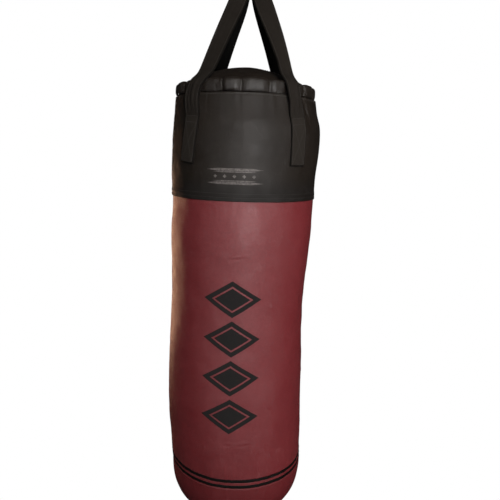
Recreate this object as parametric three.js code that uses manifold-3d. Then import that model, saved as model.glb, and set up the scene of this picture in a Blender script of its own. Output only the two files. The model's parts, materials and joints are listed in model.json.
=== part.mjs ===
// Heavy punching bag with its hanging straps, ring, snap hook and ball-bearing swivel.
// Millimetres, +Z up, the front faces -Y. The origin is the centre of the eye at the very top,
// the point that the whole bag hangs from.
import * as THREE from 'three';
import { mergeVertices } from 'three/addons/utils/BufferGeometryUtils.js';
import Module from 'manifold-3d';

const wasm = await Module();
wasm.setup();

// ---------------------------------------------------------------- driving dimensions
const GAP = 0.3; // between touching pieces
const ROUND = 32; // facets round the bag
const INNER_ROUND = 24; // facets round the layers inside it

// swivel
const EYE_R = 17.5; // mean radius of both eyes
const EYE_WIRE = 5.5;
const HOUSING_R = 17;
const HOUSING_BORE = 13;
const CAP_TOP = -30;
const CAP_BOTTOM = -38;
const HOUSING_BOTTOM = -74;
const HOUSING_FLOOR = -68;
const BOLT_R = 6;
const BOLT_HOLE = 6.6;
const LOWER_EYE_Z = -105;
const LOWER_EYE_WIRE = 6;
const BALL_R = 2.4;
const BALL_COUNT = 9;
const BALL_PITCH_R = 9.9;
const RACE_HEIGHT = 3.5;
const RACE_BORE = 6.9;
const RACE_R = 12.5;
const NUT_R = 11; // M12 nut across its corners, half
const NUT_HEIGHT = 10;

// snap hook, in the YZ plane
const HOOK_WIRE = 5;
const HOOK_TOP_Z = -123.2; // centre of the narrow end's bend
const HOOK_TOP_R = 12;
const HOOK_LOW_Z = -181.2; // centre of the wide end's bend
const HOOK_LOW_R = 20;
const GATE_PIVOT_Z = -137; // gate hinge height
const GATE_NOSE_Z = -172;
const GATE_R = 4.6;
const TONGUE = 3.6; // thickness of the hook's tongues
const RIVET_R = 1.8;

// hanging ring, in the XZ plane
const RING_WIRE = 5;
const RING_TOP_Z = -202.9; // centre of the top bend
const RING_BAR_Z = -280; // the straps' bar
const RING_BAR_HALF = 56; // half of the bar's straight length
const RING_BEND = 12;

// straps
const STRAP_WIDTH = 45;
const STRAP_THICK = 4.2;
const STRAP_X = 23.5; // from the middle of the pair to the centre of each strap on the bar
const STRAP_SHIFT = 6; // the pair sits a little to the right of the bar's middle
const STRAP_LOOP = 5.6; // inner radius round the bar
const STRAP_TOUCH = 0.5; // how far up the bar's sides the legs meet it, in radians
const STRAP_TURN = 3; // degrees that all four sewn ends are turned round the bag
const STRAP_SPREAD = [[85, 43.4], [190, 41.3], [250, 40.3], [278, 36.3]]; // height, degrees from front or rear
const STRAP_OVER_RIM = [[215, 180.2], [240, 178.9], [250, 178.4], [259, 177.2], [268, 173.8], [274, 167]];
const STRAP_LEAVES = [278, 156]; // height and radius where a strap leaves the collar

// bag: heights are measured from the hem of the upper band
const HEM_Z = -771.5;
const LEATHER = 2.2;
const BAND_TUCK = 40; // how far the cover runs up inside the band
const SEAM_TOP = 241; // where the collar is sewn to the band
const STRAP_LOW = 85;
const STRAP_SEWN_TOP = 190;
const PIPING = 8;
const PIPING_UPPER = -703.4;
const PIPING_LOWER = -719.3;
const CORNER_START = -735; // the bottom rounding
const CORNER_ACROSS = 80;
const CORNER_DOWN = 110;
const CORNER_FULL = 2.3; // 2 is an ellipse, more is squarer
const LINING_INSET = 5.6;
const LINING = 1.2;
const FOAM_INSET = 7.2;
const FOAM = 20;
const FILL_INSET = FOAM_INSET + FOAM + GAP;
const FILL_TOP = 236;
const TOP_PAD = 20;

// lid: a shallow dome with a zip across it, left to right
const LID_APEX = 318;
const LID_RIM_R = 156;
const LID_RISE = 50;
const LID_SPHERE = (LID_RIM_R ** 2 + LID_RISE ** 2) / (2 * LID_RISE);
const LID_CENTRE_Z = HEM_Z + LID_APEX - LID_SPHERE;
const ZIP_SLOT = 9; // half of the slit between the two lid halves
const ZIP_ANGLE = 0.46; // half of the zip's length, as an angle at the dome's centre
const SLIDER_ANGLE = 0.41;
const TAB_TILT = 0.09;

// outer outline of the leather, as [height from the hem, radius]
const COVER_OUTLINE = [[40, 179], [0, 179.1], [-100, 179.8], [-240, 174.3], [-380, 177.3], [-540, 181.4],
  [-640, 180.7], [CORNER_START, 177.6]];
const BAND_OUTLINE = [[0, 181.5], [20, 181.7], [56, 183.4], [96, 185.3], [126, 186], [156, 185.3],
  [196, 181.6], [216, 177.5], [SEAM_TOP, 172.8]];
const COLLAR_SECTION = [[172.6, 241.6], [175.6, 247], [176, 258], [173, 267], [166, 271.5], [159.5, 270.5],
  [157.5, 265], [160, 252], [165, 243]];

// ---------------------------------------------------------------- materials
const paint = (color, roughness, metalness = 0) => new THREE.MeshStandardMaterial({ color, roughness, metalness });
const MATERIALS = {
  blackLeather: () => paint(0x1f1a18, 0.45),
  redLeather: () => paint(0x7c3239, 0.45),
  webbing: () => paint(0x1c1a1a, 0.85),
  steel: () => paint(0xb8bcc0, 0.3, 1),
  darkSteel: () => paint(0x6d7074, 0.4, 1),
  tape: () => paint(0x161515, 0.9),
  lining: () => paint(0x55565a, 0.8),
  foam: () => paint(0x8f8a80, 0.95),
  fill: () => paint(0x77706a, 1),
};

// ---------------------------------------------------------------- solids
const vec = (x, y, z) => new THREE.Vector3(x, y, z);
const WORLD_UP = vec(0, 0, 1);

// Merges vertices, drops empty triangles and turns the faces outwards.
function closed(source) {
  const bare = (source.index ? source.toNonIndexed() : source).clone();
  for (const name of Object.keys(bare.attributes)) if (name !== 'position') bare.deleteAttribute(name);
  const merged = mergeVertices(bare, 1e-4);
  const place = merged.getAttribute('position');
  const corner = [vec(0, 0, 0), vec(0, 0, 0), vec(0, 0, 0)];
  const kept = [];
  let volume = 0;
  for (let i = 0; i < merged.index.count; i += 3) {
    const ids = [0, 1, 2].map((k) => merged.index.getX(i + k));
    if (new Set(ids).size < 3) continue;
    ids.forEach((id, k) => corner[k].fromBufferAttribute(place, id));
    volume += corner[0].dot(corner[1].clone().cross(corner[2]));
    kept.push(ids);
  }
  merged.setIndex(kept.flatMap(([a, b, c]) => (volume < 0 ? [a, c, b] : [a, b, c])));
  merged.computeVertexNormals();
  return merged;
}

// A solid of revolution about Z from [radius, height] points.
function lathe(points, facets = ROUND) {
  const outline = points.map(([r, z]) => new THREE.Vector2(r, z));
  return closed(new THREE.LatheGeometry(outline, facets).rotateX(Math.PI / 2));
}

const ring = (inner, outer, low, high, facets) => lathe(
  [[inner, low], [outer, low], [outer, high], [inner, high], [inner, low]], facets);

// A closed body through rings of points that all have the same order.
function loft(rings, endless = false) {
  const size = rings[0].length;
  const flat = rings.flat().flatMap((p) => [p.x, p.y, p.z]);
  const faces = [];
  const spans = endless ? rings.length : rings.length - 1;
  for (let i = 0; i < spans; i += 1) {
    const here = i * size;
    const next = ((i + 1) % rings.length) * size;
    for (let k = 0; k < size; k += 1) {
      const l = (k + 1) % size;
      faces.push(here + k, here + l, next + l, here + k, next + l, next + k);
    }
  }
  const last = (rings.length - 1) * size;
  for (let k = 1; !endless && k < size - 1; k += 1) faces.push(0, k + 1, k, last, last + k, last + k + 1);
  const body = new THREE.BufferGeometry();
  body.setAttribute('position', new THREE.Float32BufferAttribute(flat, 3));
  body.setIndex(faces);
  return closed(body);
}

// Round bar along points that lie in one plane with the given normal.
function bar(points, radius, normal, endless = false, sides = 10) {
  const rings = points.map((p, i) => {
    const before = points[endless ? (i + points.length - 1) % points.length : Math.max(i - 1, 0)];
    const after = points[endless ? (i + 1) % points.length : Math.min(i + 1, points.length - 1)];
    const side = after.clone().sub(before).normalize().cross(normal);
    return Array.from({ length: sides }, (_, k) => {
      const turn = (2 * Math.PI * k) / sides;
      return p.clone().addScaledVector(normal, radius * Math.cos(turn)).addScaledVector(side, radius * Math.sin(turn));
    });
  });
  return loft(rings, endless);
}

function solid(geometry) {
  const tidy = closed(geometry);
  return new wasm.Manifold(new wasm.Mesh({
    numProp: 3,
    vertProperties: new Float32Array(tidy.getAttribute('position').array),
    triVerts: new Uint32Array(tidy.index.array),
  }));
}

function geometryOf(manifold) {
  const mesh = manifold.getMesh();
  const out = new THREE.BufferGeometry();
  out.setAttribute('position', new THREE.Float32BufferAttribute(mesh.vertProperties, 3));
  out.setIndex(Array.from(mesh.triVerts));
  return closed(out);
}

const join = (...pieces) => geometryOf(pieces.map(solid).reduce((a, b) => a.add(b)));
const cut = (body, ...tools) => geometryOf(tools.map(solid).reduce((a, b) => a.subtract(b), solid(body)));
const block = (x, y, z, at) => new THREE.BoxGeometry(x, y, z).translate(at.x, at.y, at.z);
const rodX = (r, length, at, sides = 16) => new THREE.CylinderGeometry(r, r, length, sides)
  .rotateZ(Math.PI / 2).translate(at.x, at.y, at.z);
const rodZ = (r, low, high, sides = 24) => new THREE.CylinderGeometry(r, r, high - low, sides)
  .rotateX(Math.PI / 2).translate(0, 0, (high + low) / 2);

// Points along an arc; the plane is given by the two unit directions u and v.
function arc(centre, radius, u, v, from, to, steps) {
  return Array.from({ length: steps + 1 }, (_, i) => {
    const turn = from + ((to - from) * i) / steps;
    return centre.clone().addScaledVector(u, radius * Math.cos(turn)).addScaledVector(v, radius * Math.sin(turn));
  });
}

// ---------------------------------------------------------------- swivel
const eye = (z, wire) => new THREE.TorusGeometry(EYE_R, wire, 10, 28).rotateX(Math.PI / 2).translate(0, 0, z);

function swivelTopEye() {
  const stem = rodZ(7, CAP_TOP - 1, -EYE_R - 1);
  const cap = rodZ(HOUSING_R, CAP_BOTTOM, CAP_TOP, 32);
  const spigot = rodZ(HOUSING_BORE - GAP, CAP_BOTTOM - 4, CAP_BOTTOM + 1, 32);
  return join(eye(0, EYE_WIRE), stem, cap, spigot);
}

function swivelHousing() {
  const top = CAP_BOTTOM - GAP;
  return lathe([[BOLT_HOLE, HOUSING_BOTTOM], [HOUSING_R - 2, HOUSING_BOTTOM], [HOUSING_R, HOUSING_BOTTOM + 2],
    [HOUSING_R, top], [HOUSING_BORE, top], [HOUSING_BORE, HOUSING_FLOOR], [BOLT_HOLE, HOUSING_FLOOR],
    [BOLT_HOLE, HOUSING_BOTTOM]], 32);
}

const LOWER_RACE_LOW = HOUSING_FLOOR + GAP;
const BALL_Z = LOWER_RACE_LOW + RACE_HEIGHT + GAP + BALL_R;
const UPPER_RACE_LOW = BALL_Z + BALL_R + GAP;
const NUT_LOW = UPPER_RACE_LOW + RACE_HEIGHT + GAP;

const race = (low) => ring(RACE_BORE, RACE_R, low, low + RACE_HEIGHT, 24);

// The retainer and its balls, which it carries round.
function ballCage() {
  const retainer = ring(RACE_BORE + 0.3, RACE_R - 0.1, BALL_Z - 0.6, BALL_Z + 0.6, 24);
  const balls = Array.from({ length: BALL_COUNT }, (_, i) => {
    const turn = (2 * Math.PI * i) / BALL_COUNT;
    return new THREE.SphereGeometry(BALL_R, 8, 5)
      .translate(BALL_PITCH_R * Math.cos(turn), BALL_PITCH_R * Math.sin(turn), BALL_Z);
  });
  return join(retainer, ...balls);
}

function swivelEyeBolt() {
  const shank = rodZ(BOLT_R, LOWER_EYE_Z + EYE_R - 2, NUT_LOW + NUT_HEIGHT + 2);
  const flange = rodZ(9, -84, HOUSING_BOTTOM - 2);
  return join(eye(LOWER_EYE_Z, LOWER_EYE_WIRE), shank, flange);
}

function swivelNut() {
  const blank = rodZ(NUT_R, NUT_LOW, NUT_LOW + NUT_HEIGHT, 6);
  return cut(blank, rodZ(BOLT_R + GAP, NUT_LOW - 1, NUT_LOW + NUT_HEIGHT + 1));
}

// ---------------------------------------------------------------- snap hook and its gate
const Y_AXIS = vec(0, 1, 0);
const X_AXIS = vec(1, 0, 0);

// The hook's straight sides touch both bends; their lean from the vertical:
const HOOK_LEAN = Math.asin((HOOK_LOW_R - HOOK_TOP_R) / (HOOK_TOP_Z - HOOK_LOW_Z));
const gateSideY = (z) => {
  const start = vec(0, -HOOK_TOP_R * Math.cos(HOOK_LEAN), HOOK_TOP_Z + HOOK_TOP_R * Math.sin(HOOK_LEAN));
  return start.y - (start.z - z) * Math.tan(HOOK_LEAN);
};
const GATE_PIVOT = vec(0, gateSideY(GATE_PIVOT_Z), GATE_PIVOT_Z);
const GATE_NOSE = vec(0, gateSideY(GATE_NOSE_Z), GATE_NOSE_Z);
const GATE_DOWN = GATE_NOSE.clone().sub(GATE_PIVOT).normalize();

function hookBody() {
  const top = arc(vec(0, 0, HOOK_TOP_Z), HOOK_TOP_R, Y_AXIS, WORLD_UP, Math.PI - HOOK_LEAN, -HOOK_LEAN, 14);
  const low = arc(vec(0, 0, HOOK_LOW_Z), HOOK_LOW_R, Y_AXIS, WORLD_UP, -HOOK_LEAN, -Math.PI - HOOK_LEAN, 18);
  const upperStub = GATE_PIVOT.clone().addScaledVector(GATE_DOWN, -5.6); // room for the fork to turn
  const lowerStub = GATE_NOSE.clone().addScaledVector(GATE_DOWN, 3.5);
  const wire = bar([upperStub, ...top, ...low, lowerStub], HOOK_WIRE, X_AXIS);
  const tongue = (centre, length) => new THREE.BoxGeometry(TONGUE, 6.4, length)
    .rotateX(-HOOK_LEAN).translate(centre.x, centre.y, centre.z);
  const hingeTongue = tongue(GATE_PIVOT.clone().addScaledVector(GATE_DOWN, -1.5), 10.2);
  const noseTongue = tongue(GATE_NOSE.clone().addScaledVector(GATE_DOWN, 1), 8);
  return cut(join(wire, hingeTongue, noseTongue), rodX(RIVET_R + GAP, 14, GATE_PIVOT, 12));
}

// Round gate with a fork at the hinge, a slot at the nose and a pocket for its spring.
function hookGate() {
  const along = (d) => GATE_PIVOT.clone().addScaledVector(GATE_DOWN, d);
  const length = GATE_NOSE.distanceTo(GATE_PIVOT);
  const rod = bar([along(-2.3), along(length + 2.7)], GATE_R, X_AXIS, false, 14);
  const slot = (from, to) => new THREE.BoxGeometry(TONGUE + 1, 14, to - from)
    .rotateX(-HOOK_LEAN).translate(0, along((from + to) / 2).y, along((from + to) / 2).z);
  const pocket = bar([along(5), along(20)], 2.3, X_AXIS, false, 10);
  return cut(rod, slot(-4, 5.4), slot(length - 4, length + 6), pocket, rodX(RIVET_R + GAP, 14, GATE_PIVOT, 12));
}

function gateSpring() {
  const turns = 6;
  const steps = turns * 10;
  const side = GATE_DOWN.clone().cross(X_AXIS).normalize();
  const centre = (t) => GATE_PIVOT.clone().addScaledVector(GATE_DOWN, 6 + 13 * t);
  const rings = Array.from({ length: steps + 1 }, (_, i) => {
    const turn = (2 * Math.PI * turns * i) / steps;
    const out = X_AXIS.clone().multiplyScalar(Math.cos(turn)).addScaledVector(side, Math.sin(turn));
    const middle = centre(i / steps).addScaledVector(out, 1.5);
    return Array.from({ length: 4 }, (__, k) => {
      const roll = (Math.PI * k) / 2;
      return middle.clone().addScaledVector(out, 0.35 * Math.cos(roll)).addScaledVector(GATE_DOWN, 0.35 * Math.sin(roll));
    });
  });
  return loft(rings);
}

const gateRivet = () => rodX(RIVET_R, 2 * GATE_R + 0.6, GATE_PIVOT, 12);

// ---------------------------------------------------------------- hanging ring
function hangerRing() {
  const across = RING_BAR_HALF;
  const down = RING_TOP_Z - (RING_BAR_Z + RING_BEND);
  const lean = Math.atan2(across, down); // both bends have the same radius
  const bend = (x, z, from, to, steps) => arc(vec(x, 0, z), RING_BEND, X_AXIS, WORLD_UP, from, to, steps);
  const lowZ = RING_BAR_Z + RING_BEND;
  const points = [
    ...bend(0, RING_TOP_Z, Math.PI - lean, lean, 8),
    ...bend(across, lowZ, lean, -Math.PI / 2, 8),
    ...bend(-across, lowZ, -Math.PI / 2, -Math.PI - lean, 8),
  ];
  return bar(points, RING_WIRE, Y_AXIS, true);
}

// ---------------------------------------------------------------- straps
// Radius of an outline of [height, radius] points at a height, whichever way the outline runs.
function radiusAt(outline, h) {
  const next = Math.max(1, outline.findIndex(([height], i) => i && (height - h) * (outline[i - 1][0] - h) <= 0));
  const [[h0, r0], [h1, r1]] = [outline[next - 1], outline[next]];
  return r0 + ((r1 - r0) * (h - h0)) / (h1 - h0);
}

const bandRadius = (h) => radiusAt(BAND_OUTLINE, h);
const coverRadius = (h) => radiusAt(COVER_OUTLINE, h);

// One leg of a strap: from its sewn end up to the bar. side is -1 left, 1 right; face is -1 front, 1 rear.
function strapLeg(side, face) {
  const station = (height, radius) => {
    const spread = radiusAt(STRAP_SPREAD, height) * side * -face;
    const turn = THREE.MathUtils.degToRad(spread + STRAP_TURN) + (face > 0 ? Math.PI : 0);
    const out = vec(Math.sin(turn), -Math.cos(turn), 0);
    const flat = vec(out.y, -out.x, 0).multiplyScalar(face);
    return { point: out.clone().multiplyScalar(radius).setZ(HEM_Z + height), out, flat };
  };
  const sewn = [STRAP_LOW, 105, 126, 140, 156, 173, STRAP_SEWN_TOP].map((h) => station(h, bandRadius(h) + GAP));
  const overRim = STRAP_OVER_RIM.map(([height, radius]) => station(height, radius));
  const start = station(...STRAP_LEAVES);
  const end = vec(STRAP_SHIFT + side * STRAP_X, face * STRAP_LOOP * Math.cos(STRAP_TOUCH),
    RING_BAR_Z + STRAP_LOOP * Math.sin(STRAP_TOUCH));
  const steps = 12;
  const lean = Array.from({ length: steps }, (_, i) => {
    const t = i / steps;
    return {
      point: start.point.clone().lerp(end, t),
      out: start.out.clone().lerp(vec(0, face, 0), t),
      flat: start.flat.clone().lerp(X_AXIS, t).normalize(),
    };
  });
  return [...sewn, ...overRim, ...lean];
}

function strap(side) {
  const centre = vec(STRAP_SHIFT + side * STRAP_X, 0, RING_BAR_Z);
  const loop = arc(centre, STRAP_LOOP, Y_AXIS, WORLD_UP, Math.PI - STRAP_TOUCH, STRAP_TOUCH, 8)
    .map((point) => ({ point, flat: X_AXIS, out: point.clone().sub(centre) }));
  const stations = [...strapLeg(side, -1), ...loop, ...strapLeg(side, 1).reverse()];
  const rings = stations.map(({ point, flat, out }, i) => {
    const before = stations[Math.max(i - 1, 0)].point;
    const after = stations[Math.min(i + 1, stations.length - 1)].point;
    const along = after.clone().sub(before).normalize();
    const across = flat.clone().addScaledVector(along, -flat.dot(along)).normalize();
    const normal = along.clone().cross(across).normalize();
    if (normal.dot(out) < 0) normal.negate();
    const half = STRAP_WIDTH / 2;
    return [[-half, 0], [half, 0], [half, STRAP_THICK], [-half, STRAP_THICK]].map(([a, n]) => (
      point.clone().addScaledVector(across, a).addScaledVector(normal, n)));
  });
  return loft(rings);
}

// ---------------------------------------------------------------- bag
const toWorld = (points) => points.map(([height, radius]) => [radius, HEM_Z + height]);

// Rounded bottom at a given inset from the outer surface, from the side towards the middle.
function bottomRounding(inset, steps = 7) {
  const side = COVER_OUTLINE.at(-1)[1] - CORNER_ACROSS;
  return Array.from({ length: steps + 1 }, (_, i) => {
    const turn = ((Math.PI / 2) * i) / steps;
    const drop = Math.sin(turn) ** (2 / CORNER_FULL);
    const reach = i === steps ? 0 : Math.cos(turn) ** (2 / CORNER_FULL);
    return [CORNER_START - (CORNER_DOWN - inset) * drop, side + (CORNER_ACROSS - inset) * reach];
  });
}

const insetOf = (outline, inset) => outline.map(([height, radius]) => [height, radius - inset]);

// Leather wall between two heights, following the cover's outline.
function coverWall(top, bottom) {
  const inside = COVER_OUTLINE.filter(([height]) => height < top && height > bottom);
  const outline = [[top, coverRadius(top)], ...inside, [bottom, coverRadius(bottom)]];
  const back = insetOf(outline, LEATHER).reverse();
  return lathe(toWorld([...outline, ...back, outline[0]]));
}

function upperBand() {
  const back = insetOf(BAND_OUTLINE, LEATHER).reverse();
  return lathe(toWorld([...BAND_OUTLINE, ...back, BAND_OUTLINE[0]]));
}

// Webbing ring inside the band that the straps are sewn through.
function reinforcingBand() {
  const heights = [75, 96, 126, 156, 200];
  const outside = heights.map((h) => [h, bandRadius(h) - LEATHER - GAP]);
  return lathe(toWorld([...outside, ...insetOf(outside, 1.5).reverse(), outside[0]]));
}

function baseCap() {
  const top = PIPING_LOWER - PIPING / 2 - GAP;
  const outside = [[top, coverRadius(top)], ...bottomRounding(0)];
  const inside = [[top, coverRadius(top) - LEATHER], ...bottomRounding(LEATHER)].reverse();
  const floor = CORNER_START - CORNER_DOWN;
  return lathe(toWorld([...outside, [floor, 0], [floor + LEATHER, 0], ...inside, outside[0]]));
}

function piping(height) {
  const [low, high] = [height - PIPING / 2, height + PIPING / 2];
  const outside = [[high, coverRadius(high)], [height, coverRadius(height) + 0.8], [low, coverRadius(low)]];
  const inside = [[low, coverRadius(low) - LEATHER], [high, coverRadius(high) - LEATHER]];
  return lathe(toWorld([...outside, ...inside, outside[0]]));
}

// Outer line of the layers inside the leather, at an inset, from the top down.
function innerLine(inset, top) {
  const band = BAND_OUTLINE.filter(([height], i) => height > BAND_TUCK && height < top && i % 2 === 0).reverse();
  const cover = COVER_OUTLINE.filter(([height]) => height > CORNER_START);
  return [[top, bandRadius(top) - inset], ...insetOf([...band, ...cover], inset), ...bottomRounding(inset, 4)];
}

function innerCup(inset, thickness, top) {
  const floor = CORNER_START - CORNER_DOWN + inset;
  const outside = innerLine(inset, top);
  const inside = innerLine(inset + thickness, top).reverse();
  return lathe(toWorld([...outside, [floor, 0], [floor + thickness, 0], ...inside, outside[0]]), INNER_ROUND);
}

function textileFill() {
  const floor = CORNER_START - CORNER_DOWN + FILL_INSET;
  const top = FILL_TOP - TOP_PAD - GAP;
  return lathe(toWorld([[top, 0], ...innerLine(FILL_INSET, top), [floor, 0]]), INNER_ROUND);
}

const topPad = () => lathe(toWorld([[FILL_TOP - TOP_PAD, 0], [FILL_TOP - TOP_PAD, 147], [FILL_TOP - 8, 145],
  [FILL_TOP, 138], [FILL_TOP, 0]]), INNER_ROUND);

const collar = () => lathe([...COLLAR_SECTION, COLLAR_SECTION[0]].map(([r, h]) => [r, HEM_Z + h]));

// ---------------------------------------------------------------- lid and zip
const RIM_ANGLE = Math.asin(LID_RIM_R / LID_SPHERE);
const domeLine = (radius, steps = 6) => Array.from({ length: steps + 1 }, (_, i) => {
  const turn = (RIM_ANGLE * i) / steps;
  return [radius * Math.sin(turn), LID_CENTRE_Z + radius * Math.cos(turn)];
});

// Half of the dome; face is -1 front, 1 rear.
function lidHalf(face) {
  const dome = lathe([...domeLine(LID_SPHERE), ...domeLine(LID_SPHERE - LEATHER).reverse()]);
  const far = 400;
  return cut(dome, block(far, far, far, vec(0, face * (ZIP_SLOT - far / 2), HEM_Z + LID_APEX)));
}

// A strip along the lid's arc in the XZ plane, between two radii and two y values.
function lidStrip(low, high, y0, y1, from = -ZIP_ANGLE, to = ZIP_ANGLE, steps = 14) {
  const rings = Array.from({ length: steps + 1 }, (_, i) => {
    const turn = from + ((to - from) * i) / steps;
    const at = (r, y) => vec(r * Math.sin(turn), y, LID_CENTRE_Z + r * Math.cos(turn));
    return [at(low, y0), at(low, y1), at(high, y1), at(high, y0)];
  });
  return loft(rings);
}

const TAPE_TOP = LID_SPHERE - LEATHER - 1.6; // the flat tape clears the dome over its whole width
const TEETH_TOP = LID_SPHERE - 0.6;
const zipTape = (face) => lidStrip(TAPE_TOP - 0.8, TAPE_TOP, face * 2.4, face * 16);
const zipTeeth = (face) => lidStrip(TAPE_TOP - 1.2, TEETH_TOP, face * 0.2, face * 2.1);
const zipStop = (end) => lidStrip(TAPE_TOP - 1.2, TEETH_TOP, -2.1, 2.1,
  end * (ZIP_ANGLE + 0.002), end * (ZIP_ANGLE + 0.014), 1);

// Slider and tab are drawn at the dome's top and then turned down the arc to the closed end.
const onArc = (geometry) => closed(geometry).translate(0, 0, LID_SPHERE).rotateY(SLIDER_ANGLE)
  .translate(0, 0, LID_CENTRE_Z);
const TAB_HINGE = vec(2.6, 0, 4.2);

function zipSlider() {
  const plate = block(16, 12, 1.8, vec(0, 0, 1.7));
  const bridge = block(12, 3, 5.5, vec(0, 0, 4.85));
  return onArc(cut(join(plate, bridge), block(8, 4, 3.4, vec(0, 0, 4.3))));
}

function zipTab() {
  const blank = block(28.2, 8, 1.6, vec(1.8 + 14.1, 0, TAB_HINGE.z));
  const window = block(4.8, 4.4, 3, vec(5.8, 0, TAB_HINGE.z));
  const { x, z } = TAB_HINGE;
  return onArc(cut(blank, window).translate(-x, 0, -z).rotateY(TAB_TILT).translate(x, 0, z));
}

// ---------------------------------------------------------------- the assembly
const bag = new THREE.Group();
bag.name = 'heavy_bag';

function add(name, geometry, material) {
  const mesh = new THREE.Mesh(geometry, MATERIALS[material]());
  mesh.name = name;
  bag.add(mesh);
}

add('swivel_top_eye', swivelTopEye(), 'steel');
add('swivel_housing', swivelHousing(), 'steel');
add('thrust_race_lower', race(LOWER_RACE_LOW), 'darkSteel');
add('ball_cage', ballCage(), 'darkSteel');
add('thrust_race_upper', race(UPPER_RACE_LOW), 'darkSteel');
add('swivel_nut', swivelNut(), 'steel');
add('swivel_eye_bolt', swivelEyeBolt(), 'steel');
add('hook_body', hookBody(), 'steel');
add('gate_rivet', closed(gateRivet()), 'darkSteel');
add('hook_gate', hookGate(), 'steel');
add('gate_spring', gateSpring(), 'darkSteel');
add('hanger_ring', hangerRing(), 'steel');
add('strap_left', strap(-1), 'webbing');
add('strap_right', strap(1), 'webbing');
add('upper_band', upperBand(), 'blackLeather');
add('reinforcing_band', reinforcingBand(), 'webbing');
add('collar', collar(), 'blackLeather');
for (const [name, face] of [['front', -1], ['rear', 1]]) {
  add(`lid_${name}`, lidHalf(face), 'blackLeather');
  add(`zip_tape_${name}`, zipTape(face), 'tape');
  add(`zip_teeth_${name}`, zipTeeth(face), 'darkSteel');
}
add('zip_stop_closed', zipStop(1), 'darkSteel');
add('zip_stop_open', zipStop(-1), 'darkSteel');
add('zip_slider', zipSlider(), 'darkSteel');
add('zip_tab', zipTab(), 'darkSteel');
add('body_cover', coverWall(BAND_TUCK, PIPING_UPPER + PIPING / 2 + GAP), 'redLeather');
add('piping_upper', piping(PIPING_UPPER), 'blackLeather');
add('base_strip', coverWall(PIPING_UPPER - PIPING / 2 - GAP, PIPING_LOWER + PIPING / 2 + GAP), 'redLeather');
add('piping_lower', piping(PIPING_LOWER), 'blackLeather');
add('base_cap', baseCap(), 'redLeather');
add('inner_lining', innerCup(LINING_INSET, LINING, 228), 'lining');
add('foam_liner', innerCup(FOAM_INSET, FOAM, 216), 'foam');
add('top_pad', topPad(), 'foam');
add('textile_fill', textileFill(), 'fill');

export default bag;
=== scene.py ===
"""Heavy punching bag: the visual model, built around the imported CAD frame.

Everything is in metres in the row frame: +Z up, the bag's front faces -Y, the origin is the centre of
the eye that the bag hangs from. Heights on the bag are measured from the hem of its black band.
"""

import json
from math import acos, atan2, copysign, cos, pi, radians, sin

import bmesh
import bpy
import numpy as np
from mathutils import Matrix, Vector, noise

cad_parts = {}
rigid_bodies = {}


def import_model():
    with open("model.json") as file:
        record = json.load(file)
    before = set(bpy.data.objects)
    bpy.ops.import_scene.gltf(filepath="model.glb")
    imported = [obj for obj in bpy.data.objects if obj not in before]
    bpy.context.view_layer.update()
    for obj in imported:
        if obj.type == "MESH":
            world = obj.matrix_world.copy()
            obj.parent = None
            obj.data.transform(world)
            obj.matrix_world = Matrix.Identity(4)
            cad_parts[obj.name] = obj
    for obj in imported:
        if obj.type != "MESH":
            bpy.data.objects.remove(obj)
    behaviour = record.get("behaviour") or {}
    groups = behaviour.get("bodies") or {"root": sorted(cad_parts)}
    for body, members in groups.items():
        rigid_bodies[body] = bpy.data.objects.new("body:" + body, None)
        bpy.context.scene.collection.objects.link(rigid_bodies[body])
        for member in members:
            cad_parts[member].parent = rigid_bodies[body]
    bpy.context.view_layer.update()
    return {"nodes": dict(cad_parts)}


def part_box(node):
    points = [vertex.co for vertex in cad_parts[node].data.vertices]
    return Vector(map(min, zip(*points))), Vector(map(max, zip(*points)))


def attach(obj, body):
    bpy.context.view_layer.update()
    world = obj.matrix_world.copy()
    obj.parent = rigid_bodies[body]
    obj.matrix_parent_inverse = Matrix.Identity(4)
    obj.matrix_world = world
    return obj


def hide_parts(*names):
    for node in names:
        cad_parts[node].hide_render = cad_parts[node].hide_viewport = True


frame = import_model()

# ---- places, from the frame
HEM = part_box("upper_band")[0][2]
SEAM_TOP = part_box("upper_band")[1][2] - HEM
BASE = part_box("base_cap")[0][2] - HEM
COLLAR_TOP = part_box("collar")[1][2] - HEM
LID_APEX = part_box("lid_front")[1][2] - HEM
STRAP_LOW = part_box("strap_left")[0][2] - HEM
PIPING_UPPER = (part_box("piping_upper")[0][2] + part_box("piping_upper")[1][2]) / 2 - HEM
PIPING_LOWER = (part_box("piping_lower")[0][2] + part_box("piping_lower")[1][2]) / 2 - HEM
RING_LOW, RING_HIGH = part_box("hanger_ring")
RING_WIRE = RING_HIGH[1]
BAR_Z = RING_LOW[2] + RING_WIRE

# ---- sizes
BAG_RADIUS = 0.18
PRINT_RADIUS = 0.178  # the prints are unrolled at this radius
LEATHER = 0.0022
PIPING_HALF = 0.0040
SEAM_GAP = 0.0001
BAND_STEP = 0.0018  # the band's leather lies over the cover's
BAND_TUCK = 0.036  # the cover runs this far up under the band
COLUMNS = 240  # mesh columns round the bag
CORNER_START = -0.735
CORNER_ACROSS = 0.080
CORNER_DOWN = CORNER_START - BASE
CORNER_FULL = 2.3  # 2 is an ellipse, more is squarer
STRAP_WIDTH = 0.045
STRAP_THICK = 0.0042
STRAP_SEWN_TOP = 0.194
STRAP_X = 0.0230  # from the middle of the pair to each strap's centre on the bar
STRAP_SHIFT = 0.006  # of the pair's middle along the bar
STRAP_LOOP = RING_WIRE + 0.0006
STRAP_TOUCH = 0.5  # angle up the bar's sides at which the legs meet it
STRAP_TURN = radians(3)
STRAP_BEND = 0.183  # radius of the band under the straps
REAR_SPREAD = [(0.085, 43.4), (0.194, 41.3), (0.250, 40.3), (0.278, 36.3)]
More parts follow.
